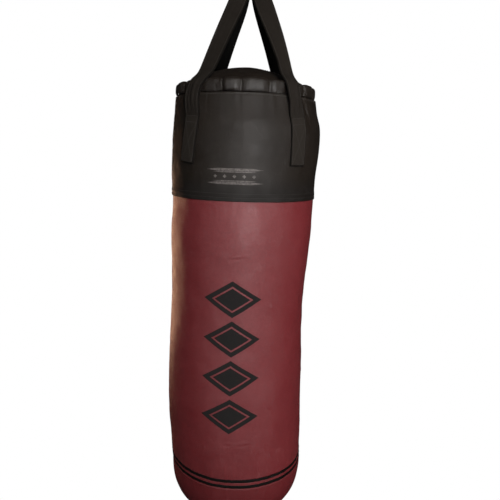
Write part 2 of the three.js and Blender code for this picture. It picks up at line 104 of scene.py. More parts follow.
# For each leg, by side (-1 is left) and face (-1 is front): height, degrees from the front or the rear
STRAP_SPREAD = {
    (-1, -1): [(0.085, 44.8), (0.194, 41.5), (0.250, 40.3), (0.278, 36.3)],
    (1, -1): [(0.085, 41.4), (0.194, 38.8), (0.215, 37.4), (0.250, 36.2), (0.278, 35.4)],
    (-1, 1): REAR_SPREAD,
    (1, 1): REAR_SPREAD,
}
# and the share of its width lost in folds, its twist in degrees, how early it swings in to the bar
STRAP_GATHER = {(-1, -1): 0.03, (1, -1): 0.07, (-1, 1): 0.05, (1, 1): 0.06}
STRAP_TWIST = {(-1, -1): 0, (1, -1): 19, (-1, 1): 0, (1, 1): 8}
STRAP_EASE = {(-1, -1): 0.5, (1, -1): 0.0, (-1, 1): 0.8, (1, 1): 0.8}
PUFFS = 20  # pillows round the collar
PUFF_START = radians(0.9)
# How far pleats are moved round the collar: at, by, in degrees
PUFF_SHIFTS = [(-35.1, 0), (-14.5, -2.6), (-0.2, 1.1), (21.6, -2.7), (35.8, 1.1), (54.9, 0)]
LID_RIM_R = 0.156
LID_RIM_H = 0.268
LID_RISE = LID_APEX - LID_RIM_H
LID_SPHERE = (LID_RIM_R ** 2 + LID_RISE ** 2) / (2 * LID_RISE)
LID_CENTRE = HEM + LID_APEX - LID_SPHERE
ZIP_SLOT = 0.009
ZIP_ANGLE = 0.46

# Side outline seen from the front: height, reach to the left, reach to the right
SIDE_OUTLINE = [
    (-0.735, 0.1742, 0.1810), (-0.664, 0.1806, 0.1800), (-0.544, 0.1876, 0.1762), (-0.384, 0.1852, 0.1712),
    (-0.264, 0.1812, 0.1700), (-0.144, 0.1815, 0.1790), (-0.084, 0.1824, 0.1832), (-0.024, 0.1790, 0.1832),
    (0.056, 0.1806, 0.1848), (0.126, 0.1796, 0.1902), (0.176, 0.1766, 0.1898), (0.216, 0.1724, 0.1800),
    (0.241, 0.1700, 0.1752), (0.275, 0.1700, 0.1740),
]


def smooth_through(points):
    """A smooth function through (x, y) points, with slopes taken from their neighbours."""
    xs, ys = (np.array(v, float) for v in zip(*sorted(points)))
    slopes = np.gradient(ys, xs)

    def value(x):
        x = np.clip(np.asarray(x, float), xs[0], xs[-1])
        i = np.clip(np.searchsorted(xs, x) - 1, 0, len(xs) - 2)
        span = xs[i + 1] - xs[i]
        t = (x - xs[i]) / span
        rise = ys[i] * (1 + 2 * t) * (1 - t) ** 2 + ys[i + 1] * t ** 2 * (3 - 2 * t)
        return rise + span * (slopes[i] * t * (1 - t) ** 2 - slopes[i + 1] * t ** 2 * (1 - t))

    return value


side_radius = smooth_through([(h, (left + right) / 2) for h, left, right in SIDE_OUTLINE])
side_shift = smooth_through([(h, (right - left) / 2) for h, left, right in SIDE_OUTLINE])


def bump_at(x, centre, width):
    return np.exp(-((x - centre) / width) ** 2)


def noise_at(points, scale, octaves=2):
    """Smooth noise of about -1 to 1 at points, with features of about scale metres."""
    flat = np.asarray(points, float).reshape(-1, 3) / scale
    values = [noise.fractal(Vector(p), 0.5, 2.0, octaves) for p in flat]
    return np.array(values).reshape(np.asarray(points).shape[:-1])


def unit(rows):
    """Vectors brought to a length of 1."""
    return rows / np.linalg.norm(rows, axis=-1, keepdims=True)


def reach_along(points):
    """Distance from the start of a line to each of its points."""
    return np.concatenate([[0], np.cumsum(np.linalg.norm(np.diff(points, axis=0), axis=1))])


def read_at(distance, reach, rows):
    """Vectors that are given along a line, read at one distance along it."""
    return np.array([np.interp(distance, reach, column) for column in rows.T])


# ---- the leather's surface
def unit_round(azimuth):
    """Outward directions; azimuth 0 is the front, a quarter turn is the right."""
    return np.stack([np.sin(azimuth), -np.cos(azimuth), np.zeros_like(azimuth)], -1)


def turn_from(azimuth, centre):
    return (azimuth - centre + pi) % (2 * pi) - pi


CREASES = [  # height, middle and reach in degrees, depth
    (-0.1326, 2.6, 5.0, 0.0011), (-0.6042, 12.3, 6.5, 0.0010), (-0.6030, -1.9, 2.0, 0.0009),
    (-0.3600, 143, 14, 0.0013), (-0.5000, -132, 18, 0.0012), (-0.2300, -96, 9, 0.0010),
    (-0.4700, 84, 8, 0.0011), (-0.6300, 170, 22, 0.0012), (0.1080, 118, 9, 0.0009),
    (0.0700, -150, 12, 0.0009),
]
GATHERS = [  # height of a seam, how far its gathers run, their depth
    (0.0, 0.030, 0.0005), (PIPING_UPPER, 0.028, 0.0007), (PIPING_LOWER, 0.030, 0.0008),
    (SEAM_TOP, 0.040, 0.0016),
]
PUCKER_TURN = radians(56)
PUCKER_HEIGHT = 0.212
PUCKER_DEPTH = 0.0030
LAP_STEP = 0.0012


def dents(azimuth, height):
    """How far the stuffed leather stands out of its plain round shape."""
    azimuth, height = np.broadcast_arrays(azimuth, height)
    places = np.stack([np.sin(azimuth), -np.cos(azimuth), height / BAG_RADIUS], -1) * BAG_RADIUS
    out = 0.0016 * noise_at(places, 0.11) + 0.0005 * noise_at(places + 3.1, 0.035)
    # short creases where the filling has settled
    for level, middle, reach, depth in CREASES:
        turn = turn_from(azimuth, radians(middle))
        near = bump_at(turn, 0, radians(reach))
        line = level + 0.003 * np.sin(9 * turn)
        ridge = 0.6 * bump_at(height, line + 0.0050, 0.0040) - bump_at(height, line, 0.0022)
        out = out + depth * near * ridge
    # gathers that run a little way from each seam
    ripple = noise_at(np.stack([np.sin(azimuth), np.cos(azimuth), 0 * azimuth], -1), 0.045)
    for level, reach, depth in GATHERS:
        out = out + depth * ripple * np.exp(-np.abs(height - level) / reach)
    # puckers beside the front right strap, where the band is drawn in under the collar
    turn = turn_from(azimuth, PUCKER_TURN)
    waves = np.sin(turn * 62 + 40 * (height - 0.21))
    out = out + PUCKER_DEPTH * waves * bump_at(turn, 0, 0.11) * bump_at(height, PUCKER_HEIGHT, 0.026)
    # lapped seam up the back
    lap = turn_from(azimuth, pi) * BAG_RADIUS
    return out + LAP_STEP / (1 + np.exp(-lap / 0.0012)) * bump_at(lap, 0.006, 0.012)


def on_bag(azimuth, height, out=0.0):
    """Points on the cover's outer surface, moved out by a distance."""
    azimuth, height = np.broadcast_arrays(np.asarray(azimuth, float), np.asarray(height, float))
    reach = side_radius(height) + out + dents(azimuth, height)
    place = unit_round(azimuth) * reach[..., None]
    place[..., 0] += side_shift(height)
    place[..., 2] = HEM + height
    return place


HEM_STITCHES = (0.0085, 0.0175)
HEM_FOLD = 0.0195
HEM_FOLD_STEP = 0.0008
COLLAR_STITCH = SEAM_TOP - 0.004
STITCH_GROOVE = 0.0006


def on_band(azimuth, height, out=0.0):
    """Points on the band: its hem is folded double, and its stitches lie in grooves."""
    height = np.asarray(height, float)
    relief = HEM_FOLD_STEP / (1 + np.exp((height - HEM_FOLD) / 0.0007))
    for level in (*HEM_STITCHES, COLLAR_STITCH):
        relief = relief - STITCH_GROOVE * bump_at(height, level, 0.0013)
    return on_bag(azimuth, height, out + BAND_STEP + relief)


# ---- mesh helpers
def link(name, data):
    """A new object in the scene."""
    made = bpy.data.objects.new(name, data)
    bpy.context.scene.collection.objects.link(made)
    return made


def build(name, verts, faces, smooth=True, layers=None):
    """A mesh object; faces turned outwards; layers are named vectors on the vertices."""
    mesh = bpy.data.meshes.new(name)
    mesh.from_pydata(np.asarray(verts, float).reshape(-1, 3).tolist(), [], [list(map(int, f)) for f in faces])
    for title, values in (layers or {}).items():
        layer = mesh.attributes.new(title, "FLOAT_VECTOR", "POINT")
        layer.data.foreach_set("vector", np.asarray(values, float).ravel())
    work = bmesh.new()
    work.from_mesh(mesh)
    bmesh.ops.recalc_face_normals(work, faces=work.faces)
    work.to_mesh(mesh)
    work.free()
    mesh.polygons.foreach_set("use_smooth", [smooth] * len(mesh.polygons))
    mesh.update()
    return link(name, mesh)


def side_faces(rows, columns, start=0, endless=False):
    """Faces between rings of vertices, each joined to the next."""
    faces = []
    for i in range(rows if endless else rows - 1):
        for k in range(columns):
            a, b = start + i * columns, start + (i + 1) % rows * columns
            j = (k + 1) % columns
            faces.append((a + k, a + j, b + j, b + k))
    return faces


def tube_faces(rows, columns, start=0):
    """Side faces and both end caps of a tube made of rings."""
    last = start + (rows - 1) * columns
    ends = [tuple(range(start, start + columns)), tuple(range(last, last + columns))]
    return side_faces(rows, columns, start) + ends


def tube(name, rings, layers=None):
    """Rings of points joined into a tube with closed ends."""
    rings = np.asarray(rings)
    return build(name, rings, tube_faces(*rings.shape[:2]), layers=layers)


def loop(name, rings):
    """A tube whose last ring is joined to its first."""
    rings = np.asarray(rings)
    return build(name, rings, side_faces(*rings.shape[:2], endless=True))


def azimuths(count=COLUMNS):
    return np.linspace(0, 2 * pi, count, endpoint=False)


def wall(name, surface, top, bottom, step=0.0030, thick=LEATHER, columns=COLUMNS):
    """A closed leather wall between two heights; its edges are rounded."""
    rows = max(4, int(round((top - bottom) / step)))
    heights = np.linspace(top, bottom, rows + 1)[1:-1]
    back = np.linspace(bottom, top, max(3, rows // 3))
    edge = thick / 3
    profile = [(top, -edge)] + [(h, 0.0) for h in (top - edge, *heights, bottom + edge)]
    profile += [(bottom, -edge)] + [(h, -thick) for h in back]
    return loop(name, [surface(azimuths(columns), h, out) for h, out in profile])


# ---- materials
class Value:
    """A number in a material's node tree; arithmetic with it adds math nodes to the tree."""

    def __init__(self, look, socket):
        self.look = look
        self.socket = socket

    def __add__(self, other):
        return self.look.math("ADD", self, other)

    def __sub__(self, other):
        return self.look.math("SUBTRACT", self, other)

    def __rsub__(self, other):
        return self.look.math("SUBTRACT", other, self)

    def __mul__(self, other):
        return self.look.math("MULTIPLY", self, other)

    def __truediv__(self, other):
        return self.look.math("DIVIDE", self, other)

    def __abs__(self):
        return self.look.math("ABSOLUTE", self)


class Shader:
    """A small helper for writing node materials."""

    def __init__(self, name, metallic=0.0):
        self.material = bpy.data.materials.new(name)
        self.material.use_nodes = True
        self.tree = self.material.node_tree
        self.surface = self.tree.nodes["Principled BSDF"]
        self.surface.inputs["Metallic"].default_value = metallic
        self.place = self.node("ShaderNodeTexCoord").outputs["Object"]

    def node(self, kind, **settings):
        made = self.tree.nodes.new(kind)
        for key, value in settings.items():
            setattr(made, key, value)
        return made

    def put(self, socket, value):
        if isinstance(value, Value):
            value = value.socket
        if isinstance(value, bpy.types.NodeSocket):
            self.tree.links.new(value, socket)
        else:
            socket.default_value = value

    def math(self, operation, *values):
        made = self.node("ShaderNodeMath", operation=operation)
        for socket, value in zip(made.inputs, values):
            self.put(socket, value)
        return Value(self, made.outputs[0])

    def split(self, vector):
        made = self.node("ShaderNodeSeparateXYZ")
        self.put(made.inputs[0], vector)
        return [Value(self, output) for output in made.outputs]

    def noise(self, size, detail=3.0, rough=0.5):
        made = self.node("ShaderNodeTexNoise")
        self.put(made.inputs["Vector"], self.place)
        self.put(made.inputs["Scale"], 1 / size)
        self.put(made.inputs["Detail"], detail)
        self.put(made.inputs["Roughness"], rough)
        return Value(self, made.outputs["Fac"])

    def cell_edges(self, size):
        made = self.node("ShaderNodeTexVoronoi", feature="DISTANCE_TO_EDGE")
        self.put(made.inputs["Vector"], self.place)
        self.put(made.inputs["Scale"], 1 / size)
        return Value(self, made.outputs["Distance"])

    def remap(self, value, low, high, to_low=0.0, to_high=1.0, curve="SMOOTHSTEP"):
        made = self.node("ShaderNodeMapRange", interpolation_type=curve)
        for socket, number in zip(made.inputs, (value, low, high, to_low, to_high)):
            self.put(socket, number)
        return Value(self, made.outputs[0])

    def mix(self, factor, a, b):
        made = self.node("ShaderNodeMix", data_type="RGBA")
        self.put(made.inputs["Factor"], factor)
        for socket, colour in zip([s for s in made.inputs if s.type == "RGBA"], (a, b)):
            self.put(socket, colour if isinstance(colour, bpy.types.NodeSocket) else (*colour, 1.0))
        return next(s for s in made.outputs if s.type == "RGBA")

    def bump(self, height, distance, strength=1.0, normal=None):
        made = self.node("ShaderNodeBump")
        self.put(made.inputs["Height"], height)
        made.inputs["Distance"].default_value = distance
        made.inputs["Strength"].default_value = strength
        if normal is not None:
            self.put(made.inputs["Normal"], normal)
        return made.outputs[0]

    def finish(self, colour, rough, normal, gloss=0.5):
        self.put(self.surface.inputs["Base Color"], colour)
        self.put(self.surface.inputs["Roughness"], rough)
        self.put(self.surface.inputs["Normal"], normal)
        self.surface.inputs["Specular IOR Level"].default_value = gloss
        return self.material


def scaled(colour, by):
    return tuple(by * c for c in colour)


PEBBLE = 0.0016  # size of the leather's grain


def leather(name, colour, dark, light, roughness, gloss, paint=None):
    """Coated leather; dark lies in the grain's lines, light on rubbed patches; paint adds a print."""
    look = Shader(name)
    grain = look.remap(look.cell_edges(PEBBLE), 0.0, 0.16)
    fine = look.noise(PEBBLE / 3, 3.0, 0.6)
    normal = look.bump(grain + fine * 0.5, 0.00022, 0.8)
    normal = look.bump(look.noise(0.012, 2.0), 0.0011, 0.35, normal)
    patches = look.remap(look.noise(0.07, 4.0), 0.30, 0.72)
    speckle = look.remap(look.noise(0.0045, 3.0), 0.35, 0.7)
    base = look.mix(patches, colour, light)
    base = look.mix(speckle * 0.25, base, dark)
    base = look.mix((1.0 - grain) * 0.45, base, dark)
    rough = look.remap(look.noise(0.03, 3.0), 0.3, 0.75, roughness - 0.05, roughness + 0.07)
    if paint:
        base, rough = paint(look, base, rough)
    return look.finish(base, rough, normal, gloss)


def unrolled(look):
    """Distance round the bag from the front's middle, and height above the hem."""
    x, y, z = look.split(look.place)
    return look.math("ARCTAN2", x, y * -1.0) * PRINT_RADIUS, z - HEM


BODY_INK = (0.0026, 0.0013, 0.0009)
BODY_INK_ROUGHNESS = 0.94
BAND_INK = (0.19, 0.165, 0.155)
RULES = ((0.0150, 0.064, 0.0030), (0.0100, 0.050, 0.0012))  # distance from the row, half length, half width


def body_print(look, base, rough):
    """A column of bold lozenges, each with a fine line of leather left inside it."""
    top, count, pitch, half_wide, half_tall = -0.182, 4, 0.0985, 0.071, 0.0455
    across, height = unrolled(look)
    across = across + 0.004
    steps = (top - height) / pitch
    inside = look.math("GREATER_THAN", steps, 0.0) * look.math("LESS_THAN", steps, count)
    middle = abs(look.math("FRACT", steps) - 0.5)
    ragged = (look.noise(0.003, 3.0) - 0.5) * 0.035
    lozenge = abs(across) / half_wide + middle * (pitch / half_tall) + ragged
    body = look.remap(lozenge, 0.985, 1.0, 1.0, 0.0)
    line = look.remap(lozenge, 0.60, 0.615) * look.remap(lozenge, 0.70, 0.715, 1.0, 0.0)
    worn = look.remap(look.noise(0.0016, 4.0, 0.7), 0.62, 0.70, 1.0, 0.55)
    ink = body * (1.0 - line) * (inside * worn)
    return look.mix(ink, base, BODY_INK), rough + ink * (BODY_INK_ROUGHNESS - rough)


def band_print(look, base, rough):
    """A faded row of small lozenges between two pairs of fine rules; near the hem the leather is painted
    darker as shade, and is rougher.
    """
    middle, spacing, half_size = 0.0565, 0.0215, 0.0042
    across, height = unrolled(look)
    across = across + 0.006
    beside = look.math("FRACT", across / spacing + 0.5) - 0.5
    up = height - middle
    small = abs(beside) * (spacing / half_size) + abs(up) / half_size
    row = look.remap(small, 0.9, 1.1, 1.0, 0.0) * look.math("LESS_THAN", abs(across), spacing * 2.5)
    marks = row
    for offset, half, weight in RULES:
        gap = abs(abs(up) - offset)
        taper = look.remap(abs(across), half * 0.6, half, 1.0, 0.0, "LINEAR") * weight
        marks = look.math("MAXIMUM", marks, look.math("LESS_THAN", gap, taper))
    worn = look.remap(look.noise(0.0035, 4.0, 0.7), 0.35, 0.62, 0.25, 0.75)
    # painted shade: the band is painted darker towards the hem, where it is also made rougher
    hem = look.remap(height, 0.016, 0.070, 1.0, 0.0)
    base = look.mix(hem * 0.80, base, BLACK_DARK)
    return look.mix(marks * worn, base, BAND_INK), rough + hem * 0.18


RIB = 0.0019  # of the webbing's slanting ribs
CORD = 0.0016  # of its lengthwise cords
ZIGZAG = 0.0062  # width of one slanting stretch
# colour of the painted shadow along the webbing's edges and ends
EDGE_SHADOW = (0.002, 0.0015, 0.001)


def webbing(name, colour, light):
    """Woven strap; the layer "weave" holds metres across and to the nearer end, and 1 on the outside."""
    look = Shader(name)
    weave = look.node("ShaderNodeAttribute", attribute_name="weave")
    across, along, outside = look.split(weave.outputs["Vector"])
    slant = along / RIB + look.math("PINGPONG", across, ZIGZAG) / (RIB * 0.8)
    ribs = look.math("SINE", slant * (2 * pi))
    cords = look.math("SINE", across * (2 * pi / CORD))
    fuzz = look.noise(0.0009, 3.0, 0.7)
    tone = look.remap(ribs + cords * 0.4, -1.2, 1.2)
    base = look.mix(tone * 0.55, colour, light)
    base = look.mix(look.remap(look.noise(0.05, 3.0), 0.3, 0.7, 0.0, 0.35), base, colour)
    # the sewn ends are a little paler: a painted highlight
    base = look.mix(look.remap(along, 0.100, 0.112, 0.38, 0.0), base, scaled(light, 1.15))
    # painted shadow: the webbing's long edges and its ends are darkened
    edge_shadow = look.remap(abs(across), STRAP_WIDTH / 2 - 0.0032, STRAP_WIDTH / 2 - 0.0008)
    end = look.remap(along, 0.0006, 0.0030, 1.0, 0.0)
    base = look.mix(look.math("MAXIMUM", edge_shadow, end) * 0.75, base, EDGE_SHADOW)
    # painted shade: the inner face of the webbing is painted almost black
    base = look.mix(outside, scaled(colour, 0.05), base)
    rough = look.remap(fuzz, 0.3, 0.7, 0.72, 0.90)
    return look.finish(base, rough, look.bump(tone + fuzz * 0.4, 0.00035, 0.9), 0.10)


def cloth(name, colour, light, rib=0.0012):
    """Plain woven cloth or non-woven padding."""
    look = Shader(name)
    fuzz = look.noise(rib, 4.0, 0.7)
    clouds = look.remap(look.noise(0.03, 3.0), 0.3, 0.7)
    base = look.mix(fuzz * 0.5, look.mix(clouds, colour, light), colour)
    return look.finish(base, look.remap(fuzz, 0.3, 0.7, 0.8, 0.97), look.bump(fuzz, rib / 3, 0.9))


def steel(name, colour, dark, roughness):
    """Zinc-plated or plain steel with faint smudges, fine scratches and a few small pits."""
    look = Shader(name, metallic=1.0)
    smudge = look.remap(look.noise(0.011, 4.0), 0.35, 0.7)
    pits = look.remap(look.noise(0.0009, 4.0, 0.7), 0.66, 0.74)
    base = look.mix(smudge, colour, scaled(colour, 0.90))
    base = look.mix(pits * 0.5, base, dark)
    rough = look.remap(look.noise(0.004, 4.0), 0.3, 0.7, roughness, roughness + 0.08)
    scratches = look.noise(0.0006, 2.0, 0.8)
    return look.finish(base, rough, look.bump(scratches, 0.00003, 0.4))


def thread(name, colour, light):
    """Twisted sewing thread."""
    look = Shader(name)
    strands = look.noise(0.0005, 2.0)
    rough = look.remap(strands, 0.3, 0.7, 0.5, 0.7)
    return look.finish(look.mix(strands, colour, light), rough, look.bump(strands, 0.0001, 0.8))


# Colours of each leather: plain, in the grain's lines, on rubbed patches
BLACK_DARK = (0.007, 0.005, 0.004)
RED_DARK = (0.090, 0.008, 0.010)
BLACK = ((0.0150, 0.0105, 0.0075), BLACK_DARK, (0.020, 0.0145, 0.0105))
RED = ((0.200, 0.022, 0.026), RED_DARK, (0.215, 0.027, 0.031))
# the base's red is the cover's red painted darker: painted shade on the lowest part of the bag
SHADED_BASE_RED = ((0.155, 0.017, 0.020), RED_DARK, (0.168, 0.020, 0.023))
PIPING_BLACK = ((0.006, 0.004, 0.0035), (0.002, 0.002, 0.002), (0.008, 0.006, 0.005))

MATERIALS = {  # slot, material
    "band": ("black_leather", leather("band_leather", *BLACK, 0.47, 0.30, band_print)),
    "black": ("black_leather", leather("black_leather", *BLACK, 0.44, 0.50)),
    "body": ("oxblood_leather", leather("oxblood_leather_printed", *RED, 0.47, 0.5, body_print)),
    "red": ("oxblood_leather", leather("oxblood_leather", *RED, 0.47, 0.5)),
    "base": ("oxblood_leather", leather("oxblood_leather_base", *SHADED_BASE_RED, 0.54, 0.3)),
    "lid": ("black_leather", leather("black_leather_lid", *BLACK, 0.56, 0.22)),
    "piping": ("black_leather", leather("piping_leather", *PIPING_BLACK, 0.5, 0.15)),
    "webbing": ("black_webbing", webbing("black_webbing", (0.014, 0.011, 0.0088), (0.031, 0.0256, 0.021))),
    "tape": ("zip_tape", cloth("zip_tape_cloth", (0.008, 0.007, 0.007), (0.014, 0.013, 0.013), 0.0009)),
    "lining": ("lining_cloth", cloth("lining_cloth", (0.16, 0.17, 0.18), (0.21, 0.22, 0.23))),
    "foam": ("foam", cloth("padding_foam", (0.42, 0.39, 0.33), (0.5, 0.47, 0.4), 0.002)),
    "fill": ("textile_fill", cloth("textile_filling", (0.20, 0.17, 0.15), (0.34, 0.33, 0.32), 0.004)),
    "steel": ("plated_steel", steel("zinc_plated_steel", (0.66, 0.66, 0.64), (0.16, 0.15, 0.14), 0.26)),
    "dark_steel": ("dark_steel", steel("dark_steel", (0.24, 0.23, 0.22), (0.05, 0.05, 0.05), 0.30)),
    "thread": ("black_leather", thread("black_thread", (0.016, 0.013, 0.011), (0.045, 0.038, 0.033))),
    "pale_thread": ("black_leather", thread("grey_thread", (0.05, 0.044, 0.038), (0.11, 0.10, 0.09))),
    "red_thread": ("oxblood_leather", thread("dark_red_thread", (0.09, 0.014, 0.016), (0.17, 0.035, 0.038))),
}


def coat(piece, material):
    piece.data.materials.clear()
    piece.data.materials.append(MATERIALS[material][1])


def dress(piece, material, body="bag", nodes=(), slot=None):
    """Gives a piece its material, body and the CAD nodes that it stands for."""
    coat(piece, material)
    slot or MATERIALS[material][0]
    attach(piece, body)
    if nodes:
        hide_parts(*nodes)


# ---- stitches
THREAD_SIDES = 6


def stitches(name, runs, material="thread", slot=None, length=0.0042, thick=0.00055):
    """Rows of short thread stitches. Each run is a list of (point, outward direction) pairs."""
    verts, faces = [], []
    for run in runs:
        points, outs = (np.array(rows, float) for rows in zip(*run))
        reach = reach_along(points)
        count = max(1, int(reach[-1] / (length * 1.35)))
        for middle in (np.arange(count) + 0.5) * reach[-1] / count:
            low, high = (read_at(middle + d, reach, points) for d in (-length / 2, length / 2))
            out = unit(read_at(middle, reach, outs))
            side = np.cross(unit(high - low), out)
            start = len(verts)
            verts.append(low - out * thick * 0.6)
            for t in (0.22, 0.78):
                centre = low * (1 - t) + high * t + out * thick * 0.35
                for turn in azimuths(THREAD_SIDES):
                    verts.append(centre + thick * 0.8 * (cos(turn) * side + sin(turn) * out))
            verts.append(high - out * thick * 0.6)
            first, second, last = start + 1, start + 1 + THREAD_SIDES, start + 1 + 2 * THREAD_SIDES
            for k in range(THREAD_SIDES):
                j = (k + 1) % THREAD_SIDES
                faces += [(start, first + j, first + k), (last, second + k, second + j),
                          (first + k, first + j, second + j, second + k)]
    dress(build(name, verts, faces), material, slot=slot)


def ring_run(surface, height):
    """A closed row of stitches round the bag at one height."""
    turn = np.linspace(0, 2 * pi, 401)
    return list(zip(surface(turn, height), unit_round(turn)))


# ---- the leather pieces
BASE_STITCH = 0.0075  # from the middle of the piping to the stitches above and below the strip
INNER_RINGS = (0.8, 0.6, 0.4, 0.2, 0.06)  # shares of the flat base's radius


def make_cover():
    edge = PIPING_HALF + SEAM_GAP
    cover = wall("cover_leather", on_bag, BAND_TUCK, PIPING_UPPER + edge)
    dress(cover, "body", nodes=["body_cover"])
    strip = wall("base_strip_leather", on_bag, PIPING_UPPER - edge, PIPING_LOWER + edge, 0.001)
    dress(strip, "red", nodes=["base_strip"])
    rows = [ring_run(on_bag, h) for h in (PIPING_UPPER + BASE_STITCH, PIPING_LOWER - BASE_STITCH)]
    stitches("base_seam_stitching", rows, "red_thread")


def cup_rings(inset, top, steps, columns, spacing):
    """Rings of a skin at an inset from the cover's surface, from a height down to the middle of the base."""
    turn = azimuths(columns)
    rows = max(3, int((top - CORNER_START) / spacing))
    rings = [on_bag(turn, h, -inset) for h in np.linspace(top, CORNER_START, rows)[:-1]]
    side = float(side_radius(CORNER_START)) - CORNER_ACROSS
    for t in np.linspace(0, pi / 2, steps):
        drop = sin(t) ** (2 / CORNER_FULL)
        height = CORNER_START - (CORNER_DOWN - inset) * drop
        radius = side + (CORNER_ACROSS - inset) * max(0.0, cos(t)) ** (2 / CORNER_FULL)
        rings.append(base_ring(turn, height, radius, drop))
    return rings + [base_ring(turn, BASE + inset, side * share, 1.0) for share in INNER_RINGS]


def base_ring(turn, height, radius, drop):
    """A ring in the rounded corner; drop runs from 0 at the corner's top to 1 at the flat base."""
    reach = radius + (1 - drop) * dents(turn, height)
    ring = unit_round(turn) * reach[:, None]
    ring[:, 0] += float(side_shift(CORNER_START)) * (1 - 0.6 * drop)
    ring[:, 2] = HEM + height
    return ring


def make_cup(name, inset, thick, top, material, node, columns=COLUMNS, steps=30, spacing=0.004):
    """A closed cup-shaped layer; without a thickness it is solid."""
    rings = cup_rings(inset, top, steps, columns, spacing)
    if thick:
        rings = cup_rings(inset + thick, top, steps, columns, spacing)[::-1] + rings
    dress(tube(name, rings), material, nodes=[node])


def make_base():
    make_cup("base_leather", 0.0, LEATHER, PIPING_LOWER - PIPING_HALF - SEAM_GAP, "base", "base_cap")


def make_inside():
    """The layers inside the leather follow its shape."""
    layers = [  # piece, inset, thickness, distance below the CAD part's top, material, node, fill
        ("lining_cloth", 0.0062, 0.0010, 0.0, "lining", "inner_lining", 0.9),
        ("padding_foam", 0.0080, 0.018, 0.0, "foam", "foam_liner", 0.9),
        ("textile_filling", 0.0270, None, 0.001, "fill", "textile_fill", 0.95),
    ]
    for name, inset, thick, lower, material, node, fill in layers:
        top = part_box(node)[1][2] - HEM - lower
        make_cup(name, inset, thick, top, material, node, columns=96, steps=10, spacing=0.02)

    def inside_band(azimuth, height, out):
        return on_band(azimuth, height, out - LEATHER - 0.0004)

    ring = wall("strap_backing_webbing", inside_band, 0.200, 0.075, 0.012, 0.0014, 120)
    dress(ring, "lining", nodes=["reinforcing_band"], slot="black_webbing")


def make_piping(node, height):
    """A thin rolled strip of leather caught in the seam."""
    section = [(PIPING_HALF * cos(a), 0.0009 * sin(a) ** 0.4 - 0.0003)
               for a in np.linspace(0, pi, 11)]
    section += [(-PIPING_HALF, -LEATHER), (PIPING_HALF, -LEATHER)]
    piece = loop(f"{node}_leather", [on_bag(azimuths(), height + up, out) for up, out in section])
    dress(piece, "piping", nodes=[node])


def make_band():
    band = wall("band_leather", on_band, SEAM_TOP, 0.0, 0.002)
    dress(band, "band", nodes=["upper_band"])
    stitches("hem_stitching", [ring_run(on_band, h) for h in HEM_STITCHES])
    stitches("collar_seam_stitching", [ring_run(on_band, COLLAR_STITCH)], "pale_thread")


def make_back_seam():
    """Two rows of stitches beside the lapped seam up the back."""
    def columns(surface, low, high):
        heights = np.arange(low, high, 0.01)
        for offset in (0.004, 0.012):
            turn = np.full(len(heights), pi + offset / BAG_RADIUS)
            yield list(zip(surface(turn, heights), unit_round(turn)))

    stitches("back_seam_stitching_cover", columns(on_bag, PIPING_UPPER + 0.01, -0.004), "red_thread")
    stitches("back_seam_stitching_band", columns(on_band, 0.024, SEAM_TOP - 0.008))


# ---- collar
COLLAR_HALF = 0.0040  # half the rim's width where it isn't puffed
COLLAR_IN = 0.0098  # from the band's surface to the middle of the rim's section
PUFF_OUT = 0.0096


def signed_power(value, power):
    return copysign(abs(value) ** power, value)


def make_collar():
    """A padded rim gathered into pillows, with deep pleats between them."""
    turn = azimuths(PUFFS * 24)
    degrees = np.degrees(turn_from(turn, 0))
    uneven = (1 - np.cos(turn)) / 2 * (0.20 * np.sin(3 * turn + 0.6) + 0.14 * np.sin(7 * turn + 1.0))
    shifted = turn + np.radians(np.interp(degrees, *zip(*PUFF_SHIFTS)))
    phase = ((shifted - PUFF_START) * PUFFS / (2 * pi) + uneven) % 1.0
    pillow = np.clip(1.06 - np.abs(2 * phase - 1) ** 3.2, 0, 1) ** 0.75
    vary = noise_at(np.stack([np.sin(turn), np.cos(turn), 0 * turn], -1), 0.30)
    # pressed flat at the front left and under each strap
    pressed = 0.92 / (1 + np.exp((degrees + 15.5) / 0.8)) / (1 + np.exp((-48 - degrees) / 2.5))
    for side in (-1, 1):
        for face in (-1, 1):
            strap = float(strap_azimuth(side, face, COLLAR_TOP))
            pressed = np.maximum(pressed, 0.45 * bump_at(turn_from(turn, strap), 0, radians(8)))
    # raised near the front's middle, thinner at the sides, and hanging lower to the right of the middle
    pulled_up = 0.0034 * bump_at(degrees, 6, 24)
    flatter = 1 - 0.48 * bump_at(degrees, 84, 26) - 0.12 * bump_at(degrees, -84, 26)
    hangs = 0.0030 * bump_at(degrees, 29, 8)
    low, high = SEAM_TOP + 0.0004, COLLAR_TOP
    middle = (low + high) / 2
    outer = float(side_radius(SEAM_TOP)) + BAND_STEP
    puff = (PUFF_OUT + 0.0016 * vary) * pillow * (1 - pressed)
    rings = []
    for angle in pi * np.linspace(-0.5, 1.5, 37)[:-1]:
        up = signed_power(sin(angle), 0.62)
        out = signed_power(cos(angle), 0.75)
        reach = outer - COLLAR_IN + (COLLAR_HALF + puff) * out * (flatter if out > 0 else 1.0)
        rise = (high - low) / 2 * (0.80 + 0.20 * pillow) * up
        height = middle + rise - 0.0015 * (1 - pillow) + pulled_up * max(up, 0.0) - hangs * max(-up, 0.0)
        ring = unit_round(turn) * reach[:, None]
        ring[:, 0] += float(side_shift(SEAM_TOP))
        ring[:, 2] = HEM + height + 0.0012 * vary
        ring += unit_round(turn) * (0.0007 * noise_at(ring, 0.012))[:, None]
        rings.append(ring)
    dress(loop("collar_leather", rings), "black", nodes=["collar"])


